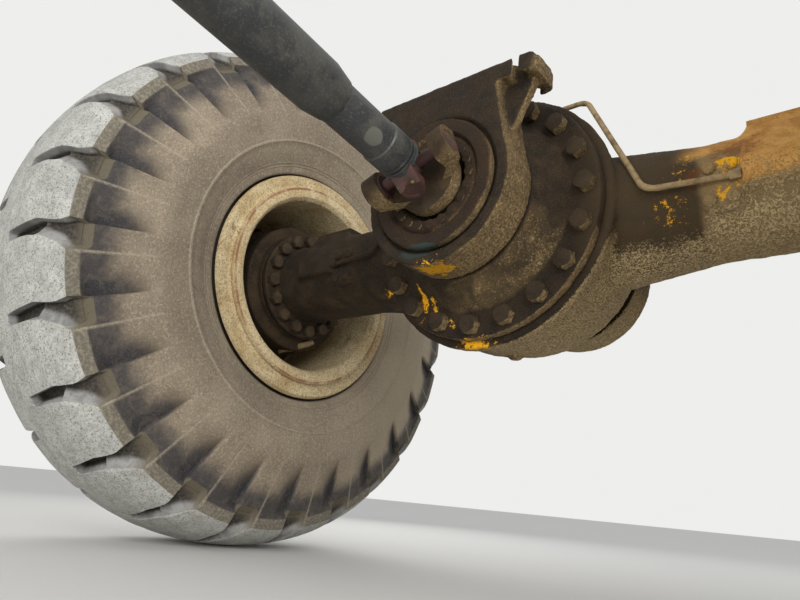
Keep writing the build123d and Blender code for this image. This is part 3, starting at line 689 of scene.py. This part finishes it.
# A pitch's columns: the groove's wall, floor and slope, then the lug. The shares say how far
# each column goes down into the groove, and into the scoop in the lug's side.
wall_columns, floor_columns, slope_columns, lug_columns = 1, 4, 4, 15
ridge_column = wall_columns + floor_columns + slope_columns
columns = ridge_column + lug_columns
groove_share = [0.0] * wall_columns + [1.0] * floor_columns
groove_share += [1 - i / slope_columns for i in range(slope_columns)] + [0.0] * lug_columns
scoop_share = [1.0] * wall_columns + [0.0] * (floor_columns + slope_columns)
scoop_share += [(i / lug_columns) ** 1.4 for i in range(lug_columns)]
nearest_twin = 17  # the other side's column that comes nearest to the first one here
deep_tone, scoop_tone = 28, 37
coarse_scale, fine_scale = 9, 42
wear_coarse, wear_fine, wear_sink = 0.0016, 0.0007, 0.0012
lug_top_depth, ring_half = 0.002, 0.001


def crown_radius(x):
    """The worn crown bends down towards the shoulders."""
    return tyre_r - crown_bend[0] * x**2 - crown_bend[1] * x**4


def tyre_rows():
    """Rows of one half: (x, radius) of the outside, the same for the groove's floor, and the zone."""
    rows = []
    crown_x = [0.0, 0.014, 0.028, pocket_x, 0.046, 0.06, 0.08, 0.10, 0.12, 0.14, 0.155, step_x - step_half]
    crown_x += [step_x + step_half, 0.184, 0.196, 0.208, 0.220, 0.232, 0.243, 0.249, shoulder_x]
    for x in crown_x:
        r = crown_radius(x)
        floor = along(x, groove_floor) if x > pocket_x else r
        rows.append(((x, r), (x, floor), "crown"))
    (x0, r0), (x1, r1) = flank
    mouth_t = (mouth_x - x0) / (x1 - x0)
    mouth_depth = r0 - groove_floor[-1][1]
    flank_t = [0.035, 0.07, 0.105, 0.14, 0.155, 0.175, 0.20, 0.225, 0.25, mouth_t]
    flank_t += [0.32, 0.36, 0.40, 0.45, 0.50, 0.55, 0.60, 0.66, 0.72, 0.78, 0.84, 0.90, 0.95]
    for t in flank_t:
        x, r = x0 + (x1 - x0) * t, r0 + (r1 - r0) * t
        fall = max(0.0, 1 - t / mouth_t)
        rows.append(((x, r), (x - mouth_lean * fall, r - mouth_depth * fall), "flank"))
    rows += [(point, point, "wall") for point in side_wall]
    return rows


def column_angles(x, zone):
    """Angles of one pitch's columns on a row, from a groove's upper edge to the next one."""
    if zone == "crown":
        top, low, wall = along(x, groove_top_edge), along(x, groove_low_edge), crown_wall
    else:
        top, low, wall = panel_start, panel_end, panel_wall
    foot = low - along(x, groove_slope) * (low - top - wall)
    stops = (
        (top, top + wall, wall_columns),
        (top + wall, foot, floor_columns),
        (foot, low, slope_columns),
        (low, top + lug_pitch, lug_columns),
    )
    return [a + (b - a) * i / n for a, b, n in stops for i in range(n)]


def tyre_point(row, column, way):
    """Angle, x, radius and tones of a row's point; way is -1 on the side that faces the machine."""
    (x, r), (floor_x, floor_r), zone = row
    angles = column_angles(x, zone)
    if way > 0:
        column = nearest_twin - column
    turn, column = divmod(column, columns)
    angle = angles[column] + turn * lug_pitch
    if way > 0:
        angle = lug_pitch / 2 - angle
    groove = groove_share[column] if zone != "wall" else 0.0
    scoop = scoop_share[column] * along(r, scoop_depth) if zone == "flank" else 0.0
    new_x = x + (floor_x - x) * groove - flank_across * scoop
    new_r = r + (floor_r - r) * groove - flank_down * scoop
    depth = (r - floor_r) * groove
    on_ridge = column == ridge_column and zone != "wall" and scoop_depth[0][0] < r < crown_edge
    return angle, new_x, new_r, depth, scoop, float(on_ridge)


def tyre_vert(mesh, layers, row, way, pitch, column):
    """One point of the tyre, with the values that its material reads."""
    (x, _), _, zone = row
    angle, px, pr, depth, scoop, ridge = tyre_point(row, column, way)
    if x < pocket_x:
        # at the middle the two sides' columns meet
        other = tyre_point(row, column, -way)[0]
        angle += (other - angle) * (0.5 - 0.5 * x / pocket_x)
    turned = math.radians(lug_phase + pitch * lug_pitch + angle)
    here = Vector((way * px, pr * math.cos(turned), pr * math.sin(turned)))
    if zone != "wall":
        wear = noise.noise(here * coarse_scale) * wear_coarse
        wear += noise.noise(here * fine_scale) * wear_fine
        here *= 1 + wear - wear_sink
    vert = mesh.verts.new(here)
    vert[layers["radius"]] = pr
    vert[layers["across"]] = px
    vert[layers["deep"]] = depth * deep_tone
    vert[layers["scoop"]] = scoop * scoop_tone
    vert[layers["lug"]] = float(zone == "crown" and depth < lug_top_depth)
    vert[layers["edge"]] = ridge if zone != "wall" else float(abs(pr - ring_r) < ring_half)
    return vert


def make_tyre(side):
    """side is 1 for the right wheel; the left one is its mirror image."""
    half = tyre_rows()
    rows = [(row, -1) for row in reversed(half)] + [(row, 1) for row in half[1:]]
    mesh = bmesh.new()
    keys = ("radius", "across", "deep", "scoop", "lug", "edge")
    layers = {key: mesh.verts.layers.float.new(key) for key in keys}
    around = [(pitch, column) for pitch in range(lug_count) for column in range(columns)]
    grid = [[tyre_vert(mesh, layers, row, way, *spot) for spot in around] for row, way in rows]
    grid.append(grid[0])
    for ring, after in zip(grid, grid[1:]):
        for i in range(len(ring)):
            j = (i + 1) % len(ring)
            mesh.faces.new((ring[i], ring[j], after[j], after[i]))
    for vert in mesh.verts:
        vert.co.x *= side
        vert.co += Vector((side * right_wheel.x, axle_centre.y, axle_centre.z))
    bmesh.ops.recalc_face_normals(mesh, faces=mesh.faces)
    name = "right" if side > 0 else "left"
    wheel, node = f"{name}_wheel", f"{name}_tyre"
    piece(f"{node}_rubber", mesh, finishes["tyre"], wheel, "tyre", angle=38, stands_for=[node])


for side in (1, -1):
    make_tyre(side)


# Castings: the node's own form, its joints blended and its skin roughened
block_margin = 0.004
stop_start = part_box("right_stop_pad")[0].x - block_margin
stop_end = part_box("right_stop_pad")[1].x + block_margin
stop_bottom = axle_centre.z - 0.036
cake_shift = Vector((3, 1, 5))
flat_angle, sharp_angle = math.radians(1), math.radians(28)


def cast(node, voxel, blend_rounds, rough, crust):
    mesh = merged(node)
    data = bpy.data.meshes.new(node + "_form")
    mesh.to_mesh(data)
    mesh.free()
    made = bpy.data.objects.new(node + "_form", data)
    bpy.context.scene.collection.objects.link(made)
    remesh = made.modifiers.new("remesh", "REMESH")
    remesh.mode = "VOXEL"
    remesh.voxel_size = voxel
    blend = made.modifiers.new("blend", "SMOOTH")
    blend.factor = 0.5
    blend.iterations = blend_rounds
    graph = bpy.context.evaluated_depsgraph_get()
    formed = bpy.data.meshes.new_from_object(made.evaluated_get(graph))
    bpy.data.objects.remove(made)
    bpy.data.meshes.remove(data)
    skin = bmesh.new()
    skin.from_mesh(formed)
    bpy.data.meshes.remove(formed)
    skin.normal_update()
    block = skin.verts.layers.float.new("block")
    moves = []
    for vert in skin.verts:
        on_block = stop_start < abs(vert.co.x) < stop_end and vert.co.z > stop_bottom
        vert[block] = float(on_block and node == "axle_housing")
        lump = noise.noise(vert.co * 38) * rough + noise.noise(vert.co * 110) * rough * 0.5
        caked = max(0.0, noise.noise(vert.co * 7 + cake_shift)) * abs(noise.noise(vert.co * 75))
        moves.append(vert.normal * (lump + crust * caked))
    moved(skin, moves)
    stand_in(node, "cast", skin, angle=60)


def rounded(node, width):
    """The node's own form with its edges broken."""
    mesh = merged(node)
    bmesh.ops.dissolve_limit(
        mesh,
        angle_limit=flat_angle,
        use_dissolve_boundaries=False,
        verts=mesh.verts,
        edges=mesh.edges,
    )
    sharp = [edge for edge in mesh.edges if edge.calc_face_angle(0) > sharp_angle]
    bmesh.ops.bevel(
        mesh,
        geom=sharp,
        offset=width,
        offset_type="OFFSET",
        segments=2,
        profile=0.6,
        affect="EDGES",
        clamp_overlap=True,
    )
    stand_in(node, "worked", mesh, angle=32)


def muddy(node, thick):
    """The node's own form under a muddy coat."""
    mesh = merged(node)
    mesh.normal_update()
    moved(mesh, [vert.normal * thick * (1 + 0.8 * noise.noise(vert.co * 60)) for vert in mesh.verts])
    stand_in(node, "muddy", mesh, angle=60)


def lathe(mesh, outline, place, way, count, start=0.0, across=None, hollow=False):
    """Turn an outline of (along, radius) rows about a line.

    across gives a head's flats; a hollow outline ends where it starts.
    """
    way = way.normalized()
    side = way.orthogonal().normalized()
    other = way.cross(side)
    rings = []
    for along_way, radius in outline:
        ring = []
        for i in range(count):
            a = start + math.tau * i / count
            flat = radius
            if across and radius > across / 2:
                turn = (a - start) % (math.tau / 6) - math.tau / 12
                flat = min(radius, across / 2 / math.cos(turn))
            spot = place + way * along_way + (side * math.cos(a) + other * math.sin(a)) * flat
            ring.append(mesh.verts.new(spot))
        rings.append(ring)
    if hollow:
        rings.append(rings[0])
    for low, high in zip(rings, rings[1:]):
        for i in range(count):
            j = (i + 1) % count
            mesh.faces.new((low[i], low[j], high[j], high[i]))
    if not hollow:
        mesh.faces.new(rings[0][::-1])
        mesh.faces.new(rings[-1])


# Bolts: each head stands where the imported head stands
flats_per_corner = 1.73
head_sink = 0.0003


def bolts(node, axis, washer=0.004, caked=0.0008):
    """Hexagon heads on washers, a little knocked and each turned its own way."""
    axis = Vector(axis).normalized()
    mesh = bmesh.new()
    source = merged(node)
    for points in islands(source):
        lengths = [point.dot(axis) for point in points]
        centre = sum(points, Vector()) / len(points)
        height = max(lengths) - min(lengths)
        foot = centre - axis * (centre.dot(axis) - min(lengths)) - axis * head_sink
        corner = max((point - centre - axis * (point - centre).dot(axis)).length for point in points)
        across = corner * flats_per_corner
        # the washer, then the head with its rounded top
        outline = (
            (0, corner * 1.12),
            (washer * 0.7, corner * 1.12),
            (washer, corner * 1.06),
            (washer, corner),
            (height * 0.86, corner),
            (height * 0.97, across * 0.51),
            (height, across * 0.44),
        )
        lathe(mesh, outline, foot, axis, 24, noise.noise(centre * 31) * 3, across)
    source.free()
    for vert in mesh.verts:
        push = [noise.noise(vert.co * scale) for scale in (90, 80, 70)]
        vert.co += Vector(push) * caked
    bmesh.ops.recalc_face_normals(mesh, faces=mesh.faces)
    stand_in(node, "heads", mesh, angle=40)


cast("axle_housing", voxel=0.0065, blend_rounds=5, rough=0.0016, crust=0.004)
cast("differential_carrier", voxel=0.005, blend_rounds=3, rough=0.0013, crust=0.002)
for name in ("front_support", "rear_support"):
    cast(name, voxel=0.005, blend_rounds=2, rough=0.0011, crust=0.003)
bolts("carrier_bolts", forward, caked=0.0022)
bolts("retainer_bolts", forward, washer=0.002)
bolts("rear_trunnion_bolts", rearward)
bolts("rear_retainer_bolts", rearward)
wheel_parts = (
    "final_drive_hub",
    "hub_cover",
    "rim_base",
    "rim_inner_flange",
    "rim_outer_flange",
    "lock_ring",
)
for side, way in (("left", -1), ("right", 1)):
    cast(f"{side}_brake_housing", voxel=0.006, blend_rounds=2, rough=0.001, crust=0.002)
    bolts(f"{side}_arm_bolts", (-way, 0, 0))
    bolts(f"{side}_wheel_nuts", (way, 0, 0), washer=0.006)
    bolts(f"{side}_cover_bolts", (way, 0, 0), washer=0.003)
    for part in wheel_parts:
        rounded(f"{side}_{part}", width=0.003)
for name in ("pinion_yoke", "slip_yoke", "tube_yoke", "flange_yoke"):
    rounded(name, width=0.004)
for name in ("front_retainer", "rear_retainer", "rear_trunnion", "slip_sleeve", "shaft_tube", "brake_tee"):
    rounded(name, width=0.0015)
for side in ("left", "right"):
    muddy(f"{side}_brake_pipe", thick=0.0018)


# Small fittings, each turned from (along, radius) rows
def fitting(name, finish, body, slot, rows, place, way, count=16, hollow=False):
    mesh = bmesh.new()
    lathe(mesh, rows, Vector(place), Vector(way), count, hollow=hollow)
    bmesh.ops.recalc_face_normals(mesh, faces=mesh.faces)
    piece(name, mesh, finish, body, slot, angle=40)


# dust caps over the shaft's two ends, with rows from the joint along the shaft
cap_rows = (
    (0.0470, 0.0400),
    (0.0470, 0.0462),
    (0.0440, 0.0468),
    (0.0400, 0.0468),
    (0.0392, 0.0452),
    (0.0368, 0.0452),
    (0.0360, 0.0468),
    (0.0310, 0.0468),
    (0.0285, 0.0450),
    (0.0285, 0.0400),
)
fitting("near_dust_cap", shaft_finish, "shaft", "shaft_paint", cap_rows, near_joint, shaft_way, 48, True)
fitting("far_dust_cap", shaft_finish, "shaft", "shaft_paint", cap_rows, far_joint, -shaft_way, 48, True)

# plugs in the arms' bosses, at (x, above the axle)
plug_rows = ((-0.006, 0.0135), (0.004, 0.0135), (0.0065, 0.0115), (0.0075, 0.007), (0.0065, 0.005))
plug_places = ((0.514, 0.017), (0.558, 0.017), (0.514, -0.055), (0.558, -0.055))
boss_front = axle_centre.y - 0.134
plug_stand = 0.0055
plug_finish = finishes["axle_casting"]
for side in (-1, 1):
    for number, (x, above) in enumerate(plug_places):
        place = (side * x, boss_front - plug_stand, axle_centre.z + above)
        name = f"boss_plug_{side}_{number}"
        fitting(name, plug_finish, "axle", "axle_casting", plug_rows, place, forward, 28)

# Painted light under the left brake housing, and dirt
bar_start, bar_end = Vector((-0.955, 0.335, -0.486)), Vector((-0.866, 0.416, -0.442))
bar_r = 0.013
bar_steps = 14


def make_lit_flange_bar():
    """A pale bar that hangs under the left brake housing: painted light, for sunlight on the housing's
    flange.
    """
    mesh = bmesh.new()
    way = bar_end - bar_start
    shares = [i / bar_steps for i in range(bar_steps + 1)]
    swells = [0.45 + 0.55 * math.sin(math.pi * (0.12 + 0.76 * share)) for share in shares]
    rows = [(share * way.length, bar_r * swell) for share, swell in zip(shares, swells)]
    lathe(mesh, rows, bar_start, way, 20)
    for vert in mesh.verts:
        vert.co += noise.noise_vector(vert.co * 40) * 0.005 + noise.noise_vector(vert.co * 130) * 0.0016
    bmesh.ops.recalc_face_normals(mesh, faces=mesh.faces)
    piece("lit_flange_bar", mesh, lit_bar_finish, "axle", "axle_casting", angle=70)


make_lit_flange_bar()

retainer_recess = 0.013
retainer_face = Vector((0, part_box("front_retainer")[0].y + retainer_recess, axle_centre.z))
dirt_inner, dirt_outer, dirt_thick, dirt_lift = 0.0875, 0.1195, 0.0088, 0.0004
dirt_thin_at = math.radians(214)
dirt_around, dirt_across = 160, 10


def make_retainer_dirt():
    """Dirt packed in the front retainer's recess; it is thinner about one angle, where bolts show."""
    mesh = bmesh.new()
    loops = []
    for i in range(dirt_around):
        a = math.tau * i / dirt_around
        ray = Vector((math.cos(a), 0, math.sin(a)))
        thin = 1 - 0.62 * max(0.0, math.cos(a - dirt_thin_at)) ** 6
        loop = []
        for j in range(dirt_across + 1):
            share = j / dirt_across
            spot = retainer_face + ray * (dirt_inner + (dirt_outer - dirt_inner) * share)
            swell = min(1.0, 5 * share, 5 * (1 - share))
            lump = 1 + 0.5 * noise.noise(spot * 45) + 0.18 * noise.noise(spot * 160)
            height = dirt_lift + dirt_thick * thin * swell * lump
            loop.append(mesh.verts.new(spot + Vector(forward) * height))
        loops.append(loop)
    for i, loop in enumerate(loops):
        after = loops[(i + 1) % dirt_around]
        for j in range(dirt_across + 1):
            k = (j + 1) % (dirt_across + 1)
            mesh.faces.new((loop[j], loop[k], after[k], after[j]))
    bmesh.ops.recalc_face_normals(mesh, faces=mesh.faces)
    piece("retainer_dirt", mesh, retainer_finish, "axle", "axle_casting", angle=70)


make_retainer_dirt()

# Grease nipple of the near joint
nipple_rows = (
    (-0.004, 0.006),
    (0.004, 0.006),
    (0.005, 0.004),
    (0.010, 0.004),
    (0.012, 0.0025),
    (0.014, 0.0025),
)
nipple_place, nipple_way = (0.03, -0.16, -0.308), (0.26, -0.73, -0.63)
fitting("grease_nipple", retainer_finish, "shaft", "pipe_steel", nipple_rows, nipple_place, nipple_way)

# Floor, sky and lamps
floor_size = 60
floor_colour, floor_rough = rgb(205, 203, 198), 0.9
sky_colour = rgb(238, 238, 236)
sky_light, sky_strength = (0.93, 0.96, 1, 1), 0.75
lamps = (
    # name, place, aims at, watts, width, spread in degrees
    ("sun_side", (3.5, -2.5, 0.6), (0, 0.2, -0.4), 72, 2.5, 100),
    ("low_fill", (0.2, -3.5, -0.7), (-0.3, 0.3, -0.4), 25, 2.5, 100),
    ("back", (-3.5, 3.0, 1.5), (0, 0.3, -0.3), 46, 3, 110),
)


def make_floor():
    bpy.ops.mesh.primitive_plane_add(size=floor_size, location=(0, 0, floor_z))
    floor = bpy.context.object
    floor.name = "floor"
    clothe(floor, Finish("floor").done(floor_colour, floor_rough))


def make_sky():
    """Pale where it is seen, and a softer, cooler light on the object."""
    world = bpy.data.worlds.new("studio")
    bpy.context.scene.world = world
    world.use_nodes = True
    tree = world.node_tree
    tree.nodes.clear()
    output = tree.nodes.new("ShaderNodeOutputWorld")
    chosen = tree.nodes.new("ShaderNodeMixShader")
    seen = tree.nodes.new("ShaderNodeBackground")
    seen.inputs["Color"].default_value = sky_colour
    lit = tree.nodes.new("ShaderNodeBackground")
    lit.inputs["Color"].default_value = sky_light
    lit.inputs["Strength"].default_value = sky_strength
    path = tree.nodes.new("ShaderNodeLightPath")
    direct = path.outputs["Is Camera Ray"]
    for ray in ("Is Glossy Ray", "Is Transmission Ray"):
        either = tree.nodes.new("ShaderNodeMath")
        either.operation = "MAXIMUM"
        tree.links.new(direct, either.inputs[0])
        tree.links.new(path.outputs[ray], either.inputs[1])
        direct = either.outputs[0]
    tree.links.new(direct, chosen.inputs[0])
    tree.links.new(lit.outputs[0], chosen.inputs[1])
    tree.links.new(seen.outputs[0], chosen.inputs[2])
    tree.links.new(chosen.outputs[0], output.inputs[0])


def make_lamps():
    for name, place, aim, watts, width, spread in lamps:
        data = bpy.data.lights.new(name, "AREA")
        data.energy = watts
        data.size = width
        data.spread = math.radians(spread)
        lamp = bpy.data.objects.new(name, data)
        lamp.location = place
        lamp.rotation_mode = "QUATERNION"
        lamp.rotation_quaternion = (Vector(aim) - Vector(place)).to_track_quat("-Z", "Y")
        bpy.context.scene.collection.objects.link(lamp)


make_floor()
make_sky()
make_lamps()
bpy.context.scene.view_settings.view_transform = "Standard"
